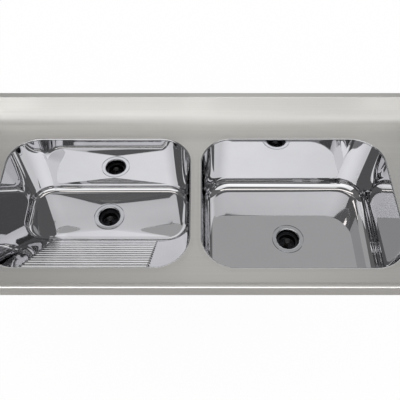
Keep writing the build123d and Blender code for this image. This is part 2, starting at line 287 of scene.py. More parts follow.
def lobed(radius: float, count: int, lobe_radius: float, lobe_centre: float, steps: int) -> Line:
    """Draws a round rim with rounded lobes.

    Args:
        radius: The rim's radius between the lobes.
        count: How many lobes stand round it.
        lobe_radius: Radius of a lobe's tip, and half of its width.
        lobe_centre: Distance from the axis to the centre of a lobe's tip.
        steps: Facets between two lobes.

    Returns:
        The points in plan, with the first one repeated at the end.
    """
    tip_steps = 8
    half = math.asin(lobe_radius / radius)
    pitch = 2 * math.pi / count
    points = []
    for number in range(count):
        middle = number * pitch
        tip = spoke(middle) * lobe_centre
        points += [tip + spoke(middle + angle) * lobe_radius
                   for angle in even(-math.pi / 2, math.pi / 2, tip_steps)]
        points += [spoke(middle + angle) * radius for angle in even(half, pitch - half, steps)]
    return points + points[:1]


# Meshes

def deselect() -> None:
    """Leaves nothing selected, so that an operator acts on the new piece alone."""
    bpy.ops.object.select_all(action="DESELECT")


def named(name: str) -> bpy.types.Object:
    """Names the piece that an operator has just made.

    Args:
        name: Its name.

    Returns:
        The piece.
    """
    piece = bpy.context.object
    piece.name = name
    piece.data.name = name
    return piece


def close_mesh(piece: bpy.types.Object) -> None:
    """Merges the seams of a mesh, drops loose ends and turns its faces outwards.

    Args:
        piece: The active mesh object.
    """
    bpy.ops.object.mode_set(mode="EDIT")
    bpy.ops.mesh.select_all(action="SELECT")
    bpy.ops.mesh.remove_doubles(threshold=HAIR * MM)
    bpy.ops.mesh.dissolve_degenerate(threshold=HAIR * MM / 4)
    bpy.ops.mesh.delete_loose(use_verts=True, use_edges=True, use_faces=False)
    bpy.ops.mesh.select_all(action="SELECT")
    bpy.ops.mesh.normals_make_consistent(inside=False)
    bpy.ops.object.mode_set(mode="OBJECT")
    piece.data.update()


def smooth(piece: bpy.types.Object) -> None:
    """Shades a piece smooth, with crisp edges and true flats.

    Args:
        piece: The piece.
    """
    deselect()
    piece.select_set(True)
    bpy.context.view_layer.objects.active = piece
    bpy.ops.object.shade_smooth_by_angle(angle=math.radians(CRISP_ANGLE))
    flats = piece.modifiers.new("flats", "WEIGHTED_NORMAL")
    flats.keep_sharp = True
    flats.weight = 100
    bpy.ops.object.modifier_apply(modifier=flats.name)


def lay_grid(name: str, rows: Sequence[Line]) -> bpy.types.Object:
    """Lays a grid over rows of points. A surface is closed by repeating its first row or point.

    Args:
        name: The piece's name.
        rows: Rows of equally many points, in millimetres.

    Returns:
        The new piece.
    """
    deselect()
    bpy.ops.mesh.primitive_grid_add(x_subdivisions=len(rows[0]) - 1, y_subdivisions=len(rows) - 1, size=1)
    piece = named(name)
    places = [value * MM for row in rows for point in row for value in point]
    piece.data.vertices.foreach_set("co", places)
    close_mesh(piece)
    smooth(piece)
    return piece


def turn_piece(name: str, outline: Sequence[Point], station: Vector, steps: int = 96) -> bpy.types.Object:
    """Spins a closed outline about an upright axis, as on a lathe.

    Args:
        name: The piece's name.
        outline: Radius and height of each point, with the first point repeated at the end.
        station: The axis's foot, from which heights count.
        steps: Facets round the axis.

    Returns:
        The new piece.
    """
    deselect()
    bpy.ops.mesh.primitive_circle_add(vertices=len(outline) - 1, radius=1)
    piece = named(name)
    places = []
    for radius, height in outline[:-1]:
        places += [(station.x + radius) * MM, station.y * MM, (station.z + height) * MM]
    piece.data.vertices.foreach_set("co", places)
    bpy.ops.object.mode_set(mode="EDIT")
    bpy.ops.mesh.select_all(action="SELECT")
    bpy.ops.mesh.spin(steps=steps, angle=2 * math.pi, center=station * MM, axis=(0, 0, 1))
    bpy.ops.object.mode_set(mode="OBJECT")
    close_mesh(piece)
    smooth(piece)
    return piece


def join(name: str, pieces: Sequence[bpy.types.Object]) -> bpy.types.Object:
    """Joins pieces into one.

    Args:
        name: The name of the joined piece.
        pieces: The pieces.

    Returns:
        The joined piece.
    """
    deselect()
    for piece in pieces:
        piece.select_set(True)
    bpy.context.view_layer.objects.active = pieces[0]
    bpy.ops.object.join()
    return named(name)


def cut(piece: bpy.types.Object, tool: bpy.types.Object) -> None:
    """Cuts a tool's shape out of a piece and removes the tool.

    Args:
        piece: The piece.
        tool: The tool.
    """
    deselect()
    bpy.context.view_layer.objects.active = piece
    boolean = piece.modifiers.new("cut", "BOOLEAN")
    boolean.operation = "DIFFERENCE"
    boolean.solver = "EXACT"
    boolean.object = tool
    bpy.ops.object.modifier_apply(modifier=boolean.name)
    bpy.data.objects.remove(tool)


# Shader maths and finishes

class Socket:
    """A shader value that adds its Math nodes as it is used in an expression."""

    def __init__(self, tree: "Tree", link: bpy.types.NodeSocket) -> None:
        """Wraps an output socket of a tree."""
        self.tree = tree
        self.link = link

    def _math(self, operation: str, *values: "Socket | float") -> "Socket":
        """Adds a Math node."""
        return self.tree.node("ShaderNodeMath", {"operation": operation}, dict(enumerate(values)))

    def __add__(self, other: "Socket | float") -> "Socket":
        """Adds."""
        return self._math("ADD", self, other)

    def __radd__(self, other: float) -> "Socket":
        """Adds to a number."""
        return self._math("ADD", other, self)

    def __sub__(self, other: "Socket | float") -> "Socket":
        """Subtracts."""
        return self._math("SUBTRACT", self, other)

    def __rsub__(self, other: float) -> "Socket":
        """Is subtracted from a number."""
        return self._math("SUBTRACT", other, self)

    def __mul__(self, other: "Socket | float") -> "Socket":
        """Multiplies."""
        return self._math("MULTIPLY", self, other)

    def __rmul__(self, other: float) -> "Socket":
        """Multiplies a number."""
        return self._math("MULTIPLY", other, self)

    def __gt__(self, other: "Socket | float") -> "Socket":
        """Gives 1 where it is greater."""
        return self._math("GREATER_THAN", self, other)

    def __lt__(self, other: "Socket | float") -> "Socket":
        """Gives 1 where it is less, which is also how a number is asked to be greater than it."""
        return self._math("LESS_THAN", self, other)

    def clamp(self) -> "Socket":
        """Keeps the value between 0 and 1."""
        return self._math("MINIMUM", self._math("MAXIMUM", self, 0.0), 1.0)


def linear(colour: str) -> Colour:
    """Turns a colour as it is seen, such as #A0A0A0, into linear light."""
    parts = [int(colour[start:start + 2], 16) / 255 for start in (1, 3, 5)]
    return *(part / 12.92 if part <= 0.04045 else ((part + 0.055) / 1.055) ** 2.4 for part in parts), 1.0


class Tree:
    """The node tree of a material or of the world, built from expressions."""

    def __init__(self, owner: bpy.types.Material | bpy.types.World) -> None:
        """Empties the tree of a material or of the world.

        Args:
            owner: The material or the world.
        """
        self.owner = owner
        self.owner.use_nodes = True
        self.tree = owner.node_tree
        self.tree.nodes.clear()

    @classmethod
    def of_material(cls, name: str) -> "Tree":
        """Starts a new material with an empty tree."""
        return cls(bpy.data.materials.new(name))

    def node(
        self, kind: str, settings: dict[str, object] | None = None,
        inputs: dict[int | str, object] | None = None, output: int | str = 0,
    ) -> Socket:
        """Adds a node.

        Args:
            kind: The node's type.
            settings: Its settings, which are set first.
            inputs: Values or sockets by the input's name or number.
            output: The output that is wanted.

        Returns:
            The output, wrapped.
        """
        made = self.tree.nodes.new(kind)
        for key, value in (settings or {}).items():
            setattr(made, key, value)
        for key, value in (inputs or {}).items():
            if isinstance(value, Socket):
                self.tree.links.new(value.link, made.inputs[key])
            else:
                made.inputs[key].default_value = value
        return Socket(self, made.outputs[output])

    def noise(self, grain: float, detail: float, along: float | None = None) -> Socket:
        """Adds noise on Object coordinates.

        Args:
            grain: How fine it is, in grains per metre.
            detail: How many finer layers it has.
            along: Grains per metre along the counter, where they are drawn out that way.

        Returns:
            A value from 0 to 1.
        """
        place = self.node("ShaderNodeTexCoord", output="Object")
        scale = (along or grain, grain, grain)
        place = self.node("ShaderNodeMapping", {}, {"Vector": place, "Scale": scale})
        return self.node("ShaderNodeTexNoise", {}, {"Vector": place, "Scale": 1.0, "Detail": detail})

    def axis(self, name: str) -> Socket:
        """Returns one Object coordinate, in metres."""
        place = self.node("ShaderNodeTexCoord", output="Object")
        return self.node("ShaderNodeSeparateXYZ", {}, {0: place}, output=name)

    def blend(self, share: Socket, first: Socket | str, second: Socket | str) -> Socket:
        """Mixes two colours.

        Args:
            share: How much there is of the second colour, from 0 to 1.
            first: The first colour, as a socket or as it is seen, such as #A0A0A0.
            second: The second colour.

        Returns:
            The mixed colour.
        """
        colours = [colour if isinstance(colour, Socket) else linear(colour) for colour in (first, second)]
        inputs = {0: share, 6: colours[0], 7: colours[1]}
        return self.node("ShaderNodeMix", {"data_type": "RGBA"}, inputs, output=2)

    def bump(self, height: Socket, distance: float) -> Socket:
        """Returns a normal that is bent by a height, with its distance in millimetres."""
        return self.node("ShaderNodeBump", {}, {"Height": height, "Distance": distance * MM})

    def light(self, strength: float, colour: Socket | Colour = WHITE_LIGHT) -> Socket:
        """Returns a shader that shines by itself."""
        return self.node("ShaderNodeEmission", {}, {"Color": colour, "Strength": strength})

    def seen(self) -> Socket:
        """Returns 1 for a ray by which the eye sees, straight on, in metal or through glass, and else 0."""
        eye, metal, glass = (
            self.node("ShaderNodeLightPath", output=kind)
            for kind in ("Is Camera Ray", "Is Glossy Ray", "Is Transmission Ray")
        )
        return (eye + metal + glass).clamp()

    def surface(self, **inputs: object) -> bpy.types.Material:
        """Ends the tree in a Principled shader, whose inputs are named with underscores for spaces."""
        values = {key.replace("_", " "): value for key, value in inputs.items()}
        return self.shown(self.node("ShaderNodeBsdfPrincipled", {}, values))

    def shown(self, shader: Socket, output: str = "ShaderNodeOutputMaterial") -> bpy.types.ID:
        """Joins a shader to an output.

        Args:
            shader: The shader.
            output: The output's type.

        Returns:
            The material or the world that the tree belongs to.
        """
        end = self.tree.nodes.new(output)
        self.tree.links.new(shader.link, end.inputs["Surface"])
        return self.owner


@dataclass(frozen=True)
class MirrorSteel:
    """Sheet steel polished to a mirror, with a faint haze."""

    name: str = "mirror_steel"
    colour: str = "#DBDBDD"
    dull: str = "#D6D6D8"
    roughness: float = 0.02
    haze_grain: float = 14.0
    haze_depth: float = 0.015

    def polish(self, tree: Tree) -> tuple[Socket, Socket]:
        """Adds the polish to a tree.

        Args:
            tree: The tree.

        Returns:
            Its colour and its roughness.
        """
        haze = tree.noise(self.haze_grain, detail=3.0)
        return tree.blend(haze, self.colour, self.dull), self.roughness + haze * self.haze_depth

    def make(self) -> bpy.types.Material:
        """Builds the material.

        Returns:
            The material.
        """
        tree = Tree.of_material(self.name)
        colour, roughness = self.polish(tree)
        return tree.surface(Base_Color=colour, Metallic=1.0, Roughness=roughness)


@dataclass(frozen=True)
class BrushedSteel:
    """Sheet steel with a fine brushing along the counter.

    The lines and the broader bands are counted per metre, across the brushing and along it. The spread is how
    far the brushing draws a highlight out across its lines, and the turn sets that way.
    """

    name: str = "brushed_steel"
    light: str = "#E9E8E5"
    dark: str = "#DEDDDA"
    roughness: float = 0.52
    unevenness: float = 0.12
    grain: float = 0.03
    lines: float = 2500.0
    lines_along: float = 6.0
    bands: float = 160.0
    bands_along: float = 1.5
    spread: float = 0.0
    turn: float = 0.0

    def brushing(self, tree: Tree) -> tuple[Socket, Socket, Socket]:
        """Adds the brushing to a tree.

        Args:
            tree: The tree.

        Returns:
            Its colour, its roughness and the height of its lines.
        """
        fine = tree.noise(self.lines, detail=2.0, along=self.lines_along)
        broad = tree.noise(self.bands, detail=3.0, along=self.bands_along)
        streaks = fine * 0.5 + broad * 0.5
        colour = tree.blend(streaks, self.light, self.dark)
        return colour, self.roughness + (streaks - 0.5) * self.unevenness, fine

    def make(self) -> bpy.types.Material:
        """Builds the material.

        Returns:
            The material.
        """
        tree = Tree.of_material(self.name)
        colour, roughness, fine = self.brushing(tree)
        return tree.surface(
            Base_Color=colour,
            Metallic=1.0,
            Roughness=roughness,
            Anisotropic=self.spread,
            Anisotropic_Rotation=self.turn,
            Normal=tree.bump(fine, self.grain),
        )


@dataclass(frozen=True)
class BowlSteel:
    """Mirror inside a bowl, with the brushing of the top on its flat flange."""

    name: str = "bowl_steel"
    mirror: MirrorSteel = MirrorSteel()
    brushed: BrushedSteel = BrushedSteel()
    flange_level: float = 34.97

    def make(self) -> bpy.types.Material:
        """Builds the material.

        Returns:
            The material.
        """
        tree = Tree.of_material(self.name)
        polish, polished = self.mirror.polish(tree)
        brushing, rubbed, fine = self.brushed.brushing(tree)
        flat = tree.axis("Z") > self.flange_level * MM
        return tree.surface(
            Base_Color=tree.blend(flat, polish, brushing),
            Metallic=1.0,
            Roughness=polished * (1 - flat) + rubbed * flat,
            Normal=tree.bump(fine * flat, self.brushed.grain),
        )


@dataclass(frozen=True)
class SatinMetal:
    """Metal with a fine, even grain, such as a mill-finish sheet, a pressed fitting or turned brass."""

    name: str
    light: str
    dark: str
    roughness: float
    grain: float = 0.0
    grain_count: float = 900.0
    clouds: float = 30.0
    unevenness: float = 0.1

    def make(self) -> bpy.types.Material:
        """Builds the material.

        Returns:
            The material.
        """
        tree = Tree.of_material(self.name)
        cloud = tree.noise(self.clouds, detail=4.0)
        fine = tree.noise(self.grain_count, detail=2.0)
        return tree.surface(
            Base_Color=tree.blend(cloud, self.light, self.dark),
            Metallic=1.0,
            Roughness=self.roughness + (cloud - 0.5) * self.unevenness,
            Normal=tree.bump(fine, self.grain),
        )


@dataclass(frozen=True)
class Moulding:
    """Moulded plastic, rubber or pressed fibre."""

    name: str
    light: str
    dark: str
    roughness: float
    grain: float
    grain_size: float = 0.8
    clouds: float = 40.0
    unevenness: float = 0.12

    def make(self) -> bpy.types.Material:
        """Builds the material.

        Returns:
            The material.
        """
        tree = Tree.of_material(self.name)
        fine = tree.noise(1.0 / (self.grain_size * MM), detail=2.0)
        cloud = tree.noise(self.clouds, detail=3.0)
        return tree.surface(
            Base_Color=tree.blend(cloud, self.light, self.dark),
            Roughness=self.roughness + (cloud - 0.5) * self.unevenness,
            Normal=tree.bump(fine, self.grain),
        )


class Finish(Enum):
    """The finishes of the counter's pieces, each with the record's slot that it belongs to."""

    BOWL = ("bowl", "bright_sheet")
    TOP = ("top", "brushed_sheet")
    UPSTAND = ("upstand", "brushed_sheet")
    FITTING = ("fitting", "bright_fitting")
    # Painted shade: the waste's well is a bright fitting, painted dark grey for the shade in its recess.
    SHADED_WELL = ("well", "bright_fitting")
    MILL = ("mill", "plain_steel")
    RUBBER = ("rubber", "black_rubber")
    PAD = ("pad", "grey_pad")
    BLACK = ("black", "black_plastic")
    WHITE = ("white", "white_plastic")
    FIBRE = ("fibre", "fibre")
    BRASS = ("brass", "brass_nut")

    @property
    def slot(self) -> str:
        """Name of the record's slot."""
        return self.value[1]


class Workshop:
    """Keeps one material for each finish and dresses the pieces in them."""

    def __init__(self) -> None:
        """Builds the materials."""
        makers = {
            Finish.BOWL: BowlSteel(),
            Finish.TOP: BrushedSteel(),
            Finish.UPSTAND: BrushedSteel("brushed_upstand", roughness=0.6, spread=0.8, turn=0.25),
            Finish.FITTING: MirrorSteel("polished_fitting", "#DCDDE0", "#CBCCD0", 0.05),
            # Painted shade: dark grey metal for the cup below its mouth and for the basket, which are bright
            # fittings.
            Finish.SHADED_WELL: SatinMetal("painted_shade_well", "#4A4B4E", "#3A3B3E", 0.38, 0.004),
            Finish.MILL: SatinMetal("mill_steel", "#B4B5B6", "#A2A3A5", 0.42, 0.01),
            Finish.RUBBER: Moulding("black_rubber", "#1B1B1C", "#252526", 0.6, 0.03),
            Finish.PAD: Moulding("damping_sheet", "#45474A", "#3A3C3F", 0.85, 0.25, 2.5),
            Finish.BLACK: Moulding("black_plastic", "#17181A", "#202123", 0.3, 0.01),
            Finish.WHITE: Moulding("white_plastic", "#E6E5E0", "#DCDBD5", 0.45, 0.02),
            Finish.FIBRE: Moulding("pressed_fibre", "#8E7859", "#7A664B", 0.9, 0.1, 1.5),
            Finish.BRASS: SatinMetal("turned_brass", "#B89F66", "#A88F58", 0.34),
        }
        self.materials = {finish: maker.make() for finish, maker in makers.items()}

    def dress(self, piece: bpy.types.Object, finish: Finish, body: str, nodes: Sequence[str]) -> None:
        """Gives a piece its finish, its body and the nodes that it stands for.

        Args:
            piece: The piece.
            finish: Its finish.
            body: The body that it moves with.
            nodes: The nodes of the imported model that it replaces.
        """
        piece.data.materials.clear()
        piece.data.materials.append(self.materials[finish])
        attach(piece, body)
        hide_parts(*nodes)
        log.info("%s: %s on %s", piece.name, finish.name.lower(), body)

    def refinish(
        self, piece: bpy.types.Object, finish: Finish, chosen: Callable[[bpy.types.MeshPolygon], bool]
    ) -> None:
        """Gives some faces of a dressed piece a finish of their own.

        Args:
            piece: The piece.
            finish: The finish of those faces.
            chosen: Tells whether a face is one of them.
        """
        piece.data.materials.append(self.materials[finish])
        for face in piece.data.polygons:
            if chosen(face):
                face.material_index = 1

    def dress_node(self, node: str, finish: Finish) -> None:
        """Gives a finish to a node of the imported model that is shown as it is.

        Args:
            node: The node.
            finish: Its finish.
        """
        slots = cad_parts[node].data.materials
        slots.clear()
        slots.append(self.materials[finish])
        log.info("%s: %s", node, finish.name.lower())


# The counter's sub-assemblies

@dataclass(frozen=True)
class Sizes:
    """Sizes that the top and the bowls share."""

    length: float = 1200.0
    depth: float = 560.0
    sheet: float = 1.0
    deck: float = 35.0
    lip_width: float = 17.0
    front_ledge: float = 39.0
    bowl_length: float = 500.0
    bowl_width: float = 400.0
    bowl_corner: float = 85.0
    bowl_gap: float = 32.0
    flange: float = 12.0

    @property
    def front(self) -> float:
        """Front edge of the bowl openings."""
        return -self.depth / 2 + self.lip_width + self.front_ledge

    @property
    def back(self) -> float:
        """Back edge of the bowl openings."""
        return self.front + self.bowl_width

    def opening(self, side: Side, grow: float = 0.0) -> Outline:
        """Finds the outline of a bowl's opening.

        Args:
            side: The bowl.
            grow: How far the outline is grown outwards.

        Returns:
            The outline.
        """
        near = self.bowl_gap / 2 - grow
        far = self.bowl_gap / 2 + self.bowl_length + grow
        left, right = (-far, -near) if side is Side.LEFT else (near, far)
        return Outline(left, right, self.front - grow, self.back + grow, self.bowl_corner + grow)


SIZES = Sizes()


@dataclass
class Bowl:
    """A deep-drawn bowl: rolled rim, leaning walls, rounded foot, and a floor with a waste's seat.

    A bowl that has a floor width has a sloping front wall, which is a washboard. The rows and the end zone of
    the ribs say where the mesh is fine: the rows count outwards from a rib's edge, and the zone, of half the
    wall's length, holds the ends of the ribs. The reach is the share of its radius within which a rib stands.
    """

    side: Side
    depth: float
    floor_radius: float
    floor_corner: float
    waste: Vector
    floor_width: float | None = None
    sizes: Sizes = SIZES
    wall_draft: float = 2.5
    rim_roll: float = 4.0
    seat_radius: float = 46.5
    seat_depth: float = 2.8
    hole_radius: float = 34.5
    dish_margin: float = 1.0
    dish_land: float = 3.0
    rib_count: int = 13
    rib_pitch: float = 22.0
    rib_length: float = 312.0
    rib_rise: float = 3.5
    rib_radius: float = 12.5
    rib_reach: float = 0.99
    rib_top_margin: float = 14.0
    rib_softness: float = 0.6
    rib_rows: tuple[float, ...] = (1.0, 0.45, 0.0, -0.5, -1.4, -2.8, -4.6, -6.6)
    rib_end_zone: Point = (0.80, 0.97)
    rib_end_steps: int = 22
    bend_steps: int = 16
    round_steps: int = 10

    @property
    def floor(self) -> float:
        """Level of the floor's edge."""
        return self.sizes.deck - self.depth

    @property
    def ribbed(self) -> bool:
        """Whether the front wall is a washboard."""
        return self.floor_width is not None

    @property
    def side_lean(self) -> float:
        """How far the other walls lean from upright, in radians."""
        return math.radians(self.wall_draft)

    @property
    def front_lean(self) -> float:
        """How far the front wall leans from upright, in radians."""
        if not self.ribbed:
            return self.side_lean
        run = self.sizes.bowl_width - self.depth * math.tan(self.side_lean) - self.floor_width
        return math.atan2(run, self.depth)

    @property
    def bend_run(self) -> float:
        """How far a bend of radius 1 reaches along the front wall from the level that it joins."""
        return math.tan((math.pi / 2 - self.front_lean) / 2)

    @property
    def rib_half_width(self) -> float:
        """Half of a rib's width where it leaves the washboard."""
        return math.sqrt(self.rib_radius**2 - (self.rib_radius - self.rib_rise) ** 2)

    def set_in(self, side: float, front: float, radius: float) -> Outline:
        """Sets the outline of the opening in.

        Args:
            side: How far, at the left, the right and the back.
            front: How far at the front.
            radius: The radius of its corners.

        Returns:
            The new outline.
        """
        opening = self.sizes.opening(self.side)
        return Outline(
            opening.left + side, opening.right - side, opening.front + front, opening.back - side, radius
        )

    def inset(self, lean: float, grow: float) -> float:
        """Returns how far inside the opening a leaning wall stands at the foot."""
        return (self.depth + grow) * math.tan(lean) - grow / math.cos(lean)

    def mouth(self, grow: float) -> Outline:
        """Returns the outline of the walls at the top's level."""
        side, front = -grow / math.cos(self.side_lean), -grow / math.cos(self.front_lean)
        return self.set_in(side, front, self.sizes.bowl_corner + grow)

    def foot(self, grow: float) -> Outline:
        """Returns the outline of the walls at the floor's level."""
        side, front = self.inset(self.side_lean, grow), self.inset(self.front_lean, grow)
        return self.set_in(side, front, self.floor_corner + grow)

    def dish(self) -> Outline:
        """Finds the outline from which the floor falls to the waste.

        Returns:
            The outline.
        """
        side = self.depth * math.tan(self.side_lean) + self.floor_radius + self.dish_margin
        front = self.depth * math.tan(self.front_lean) + self.floor_radius * self.bend_run + self.dish_margin
        return self.set_in(side, front, self.floor_corner - self.floor_radius - self.dish_margin)

    def places(self) -> list[Place]:
        """Lists the upright lines of the surface, closer together at the ends of the ribs.

        Returns:
            The places of the lines on an outline.
        """
        front = QUARTERS
        if self.ribbed:
            right = [(1 + share) / 2 for share in even(*self.rib_end_zone, self.rib_end_steps)]
            left = [1 - share for share in reversed(right)]
            front = left + [0.3, 0.5, 0.7] + right
        return around(self.bend_steps, [QUARTERS, QUARTERS, front, QUARTERS])

    def wall_shares(self) -> list[float]:
        """Lists the rows of a wall as shares of its straight part, closer together at the edges of the ribs.

        Returns:
            Shares from 0 to 1.
        """
        if not self.ribbed:
            return [0.0, 0.02, *QUARTERS, 0.98, 1.0]
        offsets = [self.rib_half_width + row for row in self.rib_rows]
        across = [-offset for offset in offsets] + [0.0] + offsets[::-1]
        rows = [self.rib_top_margin + number * self.rib_pitch + offset
                for number in range(self.rib_count) for offset in across]
        start = self.rim_roll * self.bend_run
        end = self.depth / math.cos(self.front_lean) - self.floor_radius * self.bend_run
        rows = [start] + [row for row in rows if start < row < end] + [end]
        return [(row - start) / (end - start) for row in rows]

    def rib_height(self, point: Vector, grow: float) -> float:
        """Works out how far the washboard stands out at a point of its plane.

        Args:
            point: The point, on the plane.
            grow: 0 on the inside of the sheet, or the sheet on its outside.

        Returns:
            The height over the plane, in millimetres.
        """
        opening = self.sizes.opening(self.side)
        across = point.x - (opening.left + opening.right) / 2
        down = (point.y - opening.front) * math.sin(self.front_lean)
        down += (self.sizes.deck - point.z) * math.cos(self.front_lean)
        number = min(max(round((down - self.rib_top_margin) / self.rib_pitch), 0), self.rib_count - 1)
        past_end = max(abs(across) - (self.rib_length / 2 - self.rib_half_width), 0.0)
        gap = math.hypot(past_end, down - self.rib_top_margin - number * self.rib_pitch)
        radius = self.rib_radius - grow
        if gap >= radius * self.rib_reach:
            return 0.0
        bar = math.sqrt(radius**2 - gap**2) - (self.rib_radius - self.rib_rise - grow)
        return max(bar, 0.0) + max(self.rib_softness - abs(bar), 0.0) ** 2 / (4 * self.rib_softness)

    def shell(self, grow: float) -> list[Line]:
        """Works out one face of the sheet.

        Args:
            grow: 0 for the inside, or the sheet for the outside.

        Returns:
            Rows of points, from the flange's edge down to the waste's hole.
        """
        deck = self.sizes.deck
        foot_level = self.floor - grow
        seat_level = self.waste.z - self.seat_depth - grow
        mouth, foot, dish = self.mouth(grow), self.foot(grow), self.dish()
        flange = self.sizes.opening(self.side, self.sizes.flange)
        seat = Outline.about(self.waste, self.seat_radius + grow, self.seat_radius + grow)
        land = Outline.about(self.waste, self.seat_radius + self.dish_land, self.seat_radius)
        hole = Outline.about(self.waste, self.hole_radius, self.hole_radius)
        out_of_slope = Vector((0, math.cos(self.front_lean), math.sin(self.front_lean)))
        shares = self.wall_shares()
        columns = []
        for place in self.places():
            top = upright(mouth.at(place), deck)
            bottom = upright(foot.at(place), foot_level)
            inward = upright(-place.outward(), 0)
            falling = (bottom - top).normalized()
            under = top.lerp(bottom, grow / (deck - foot_level))
            roll = bend_between(under, inward, falling, self.rim_roll - grow, self.round_steps)
            toe = bend_between(bottom, falling, inward, self.floor_radius + grow, self.round_steps)
            wall = [roll[-1].lerp(toe[0], share) for share in shares]
            on_front = place.straight and place.corner == 2
            if self.ribbed and on_front:
                wall = [point + out_of_slope * self.rib_height(point, grow) for point in wall]
            edge = upright(dish.at(place), foot_level) if self.waste.z < self.floor else toe[-1]
            level = upright(land.at(place), self.waste.z - grow)
            floor = [edge.lerp(level, share) for share in (0.0, *QUARTERS, 1.0)]
            floor += [upright(seat.at(place), height) for height in (self.waste.z - grow, seat_level)]
            floor.append(upright(hole.at(place), seat_level))
            columns.append([upright(flange.at(place), deck - grow)] + roll + wall[1:-1] + toe + floor)
        return [list(row) for row in zip(*columns)]

    def build(self, workshop: Workshop) -> None:
        """Models the bowl and dresses it.

        Args:
            workshop: Dresses the piece.
        """
        inside, outside = self.shell(0.0), self.shell(self.sizes.sheet)
        rows = inside[::-1] + outside + inside[-1:]
        name = f"{self.side.value}_bowl"
        piece = lay_grid(f"{name}_sheet", rows)
        workshop.dress(piece, Finish.BOWL, "sink", [name])


@dataclass
class Worktop:
    """The brushed top: deck, raised lip with its apron, and the upstand with its cove.

    The plates of the deck have next to no radius at their corners. A face behind the deck belongs to the
    upstand's front or to its cove if the Y of its direction is below that of a face that faces the front.
    """

    sizes: Sizes = SIZES
    lip_height: float = 8.0
    lip_crest_start: float = 9.0
    lip_crest_radius: float = 4.0
    lip_foot_radius: float = 2.5
    lip_foot_overlap: float = 3.0
    return_width: float = 18.0
    bend_radius: float = 2.0
    corner_radius: float = 6.0
    plate_corner: float = 0.01
    upstand_height: float = 78.0
    upstand_depth: float = 19.0
    upstand_edge_radius: float = 3.0
    cove_radius: float = 32.0
    faces_front: float = -0.01
    lip_steps: int = 8
    turn_steps: int = 12
    cove_steps: int = 14

    @property
    def cove_start(self) -> float:
        """Where the deck starts to rise to the upstand."""
        return self.sizes.depth / 2 - self.upstand_depth - self.cove_radius

    def deck(self) -> list[bpy.types.Object]:
        """Models the deck as a plate round each opening.

        Returns:
            The plates.
        """
        sizes = self.sizes
        edge = sizes.length / 2 - sizes.lip_width - self.lip_foot_overlap
        front = -sizes.depth / 2 + sizes.lip_width + self.lip_foot_overlap
        top, bottom = sizes.deck, sizes.deck - sizes.sheet
        places = around(self.turn_steps, [QUARTERS] * 4)
        plates = []
        for side in Side:
            left, right = (-edge, 0.0) if side is Side.LEFT else (0.0, edge)
            rim = Outline(left, right, front, self.cove_start, self.plate_corner)
            hole = sizes.opening(side, sizes.flange)
            turns = ((hole, top), (rim, top), (rim, bottom), (hole, bottom), (hole, top))
            rows = [[upright(outline.at(place), level) for place in places] for outline, level in turns]
            plates.append(lay_grid(f"{side.value}_deck", rows))
        return plates

    def lip(self) -> bpy.types.Object:
        """Models the raised lip, the apron and its return, swept round three sides.

        Returns:
            The piece.
        """
        sizes = self.sizes
        width, height = sizes.lip_width, self.lip_height
        corners = [
            Corner(-self.lip_foot_overlap, 0),
            Corner(0, 0, self.lip_foot_radius),
            Corner(self.lip_crest_start, height, self.lip_crest_radius),
            Corner(width, height, self.lip_crest_radius),
            Corner(width, -sizes.deck, self.bend_radius),
            Corner(width - self.return_width, -sizes.deck),
        ]
        half = sizes.length / 2 - width
        back = sizes.depth / 2 + self.corner_radius
        path = Outline(-half, half, width - sizes.depth / 2, back, self.corner_radius)
        bends = [Place(corner, share) for corner in (2, 3) for share in even(0.0, 1.0, self.turn_steps)]
        places = [Place(1, 1.0)] + bends + [Place(3, 1.0, True)]
        rows = [[upright(path.at(place) + place.outward() * out, sizes.deck + up) for place in places]
                for out, up in strip(corners, -sizes.sheet, self.lip_steps)]
        return lay_grid("lip", rows)

    def upstand_corners(self) -> list[Corner]:
        """Lists the corners of the upstand's profile.

        Returns:
            The corners, from the deck over the top to the rear return.
        """
        back = self.sizes.depth / 2
        face = back - self.upstand_depth
        top = self.sizes.deck + self.upstand_height
        return [
            Corner(self.cove_start, self.sizes.deck),
            Corner(face, self.sizes.deck, self.cove_radius),
            Corner(face, top, self.upstand_edge_radius),
            Corner(back, top, self.upstand_edge_radius),
            Corner(back, 0, self.bend_radius),
            Corner(back - self.return_width, 0),
        ]

    def upstand(self) -> bpy.types.Object:
        """Models the upstand and its cove, drawn along the counter.

        Returns:
            The piece.
        """
        half = self.sizes.length / 2
        profile = strip(self.upstand_corners(), -self.sizes.sheet, self.cove_steps)
        rows = [[Vector((x, y, z)) for x in even(-half, half, 4)] for y, z in profile]
        return lay_grid("upstand", rows)

    def end_plates(self) -> list[bpy.types.Object]:
        """Models the plates that close the upstand's ends above the apron.

        Returns:
            The plates.
        """
        base = self.sizes.deck + self.lip_height - self.lip_crest_radius
        outline = [point for point in bent_line(self.upstand_corners(), self.cove_steps) if point[1] > base]
        outline = [(self.cove_start + self.cove_radius / 2, base)] + outline + [(self.sizes.depth / 2, base)]
        half = self.sizes.length / 2
        move = {"value": (self.sizes.sheet * MM, 0, 0)}
        plates = []
        for name, x in (("left", -half), ("right", half - self.sizes.sheet)):
            deselect()
            bpy.ops.mesh.primitive_circle_add(vertices=len(outline), radius=1, fill_type="NGON")
            piece = named(f"{name}_end_plate")
            places = [value * MM for y, z in outline for value in (x, y, z)]
            piece.data.vertices.foreach_set("co", places)
            bpy.ops.object.mode_set(mode="EDIT")
            bpy.ops.mesh.select_all(action="SELECT")
            bpy.ops.mesh.extrude_region_move(TRANSFORM_OT_translate=move)
            bpy.ops.object.mode_set(mode="OBJECT")
            close_mesh(piece)
            smooth(piece)
            plates.append(piece)
        return plates

    def build(self, workshop: Workshop) -> None:
        """Models the top and dresses it, with the finish of the upstand on its front and its cove.

        Args:
            workshop: Dresses the piece.
        """
        parts = self.deck() + [self.lip(), self.upstand()] + self.end_plates()
        piece = join("worktop_sheet", parts)
        workshop.dress(piece, Finish.TOP, "sink", ["worktop"])
        rise = self.cove_start * MM
        workshop.refinish(
            piece, Finish.UPSTAND, lambda face: face.center.y > rise and face.normal.y < self.faces_front
        )


